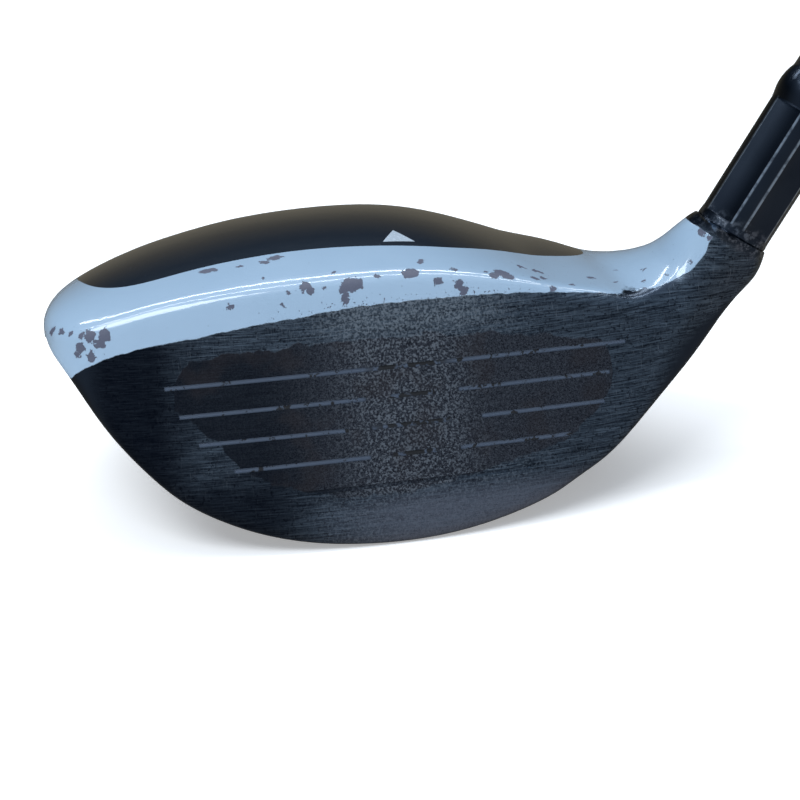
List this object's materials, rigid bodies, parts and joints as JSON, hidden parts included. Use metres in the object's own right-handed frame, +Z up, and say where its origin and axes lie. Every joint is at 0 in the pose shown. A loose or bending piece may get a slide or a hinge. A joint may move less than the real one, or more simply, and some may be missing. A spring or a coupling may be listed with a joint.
{
  "type": "fairway wood golf club",
  "caption": "Golf fairway wood: low hollow steel head with a lofted grooved face and a glossy crown, on a slanted fluted hosel with a tapered shaft and a grip.",
  "frame": {"origin": "on the ground under the middle of the face, where the sole rests at address", "axes": "+X from the toe to the heel, -Y the way the face looks (to the target), +Z up with the club soled at its lie angle"},
  "size_m": [0.6975, 0.0837, 0.9277],
  "materials": {
    "head_paint": "gloss white enamel at the front, black satin sole",
    "face_steel": "dark brushed and blasted steel",
    "line_paint": "worn matte paint",
    "crown_composite": "clear coated black composite",
    "bond": "cured adhesive",
    "mark_print": "printed mark under lacquer",
    "slot_polymer": "matte polymer",
    "weight_steel": "turned steel",
    "hot_melt": "translucent glue",
    "ferrule_plastic": "polished black",
    "graphite": "painted graphite tube",
    "plug_rubber": "rubber",
    "band_print": "printed transfer",
    "tape_paper": "double sided tape",
    "grip_rubber": "moulded rubber",
    "cap_rubber": "moulded rubber cap"
  },
  "bodies": {
    "root": {"head_body": "head_paint", "face_plate": "face_steel", "face_line_paint": "line_paint", "crown_panel": "crown_composite", "crown_bond": "bond", "alignment_mark": "mark_print", "sole_slot_insert": "slot_polymer", "sole_weight": "weight_steel", "hot_melt_pad": "hot_melt", "hosel_epoxy": "bond", "ferrule": "ferrule_plastic", "shaft": "graphite", "shaft_tip_plug": "plug_rubber", "shaft_band": "band_print", "grip_tape": "tape_paper", "grip_sleeve": "grip_rubber", "grip_cap": "cap_rubber"}
  },
  "joints": []
}
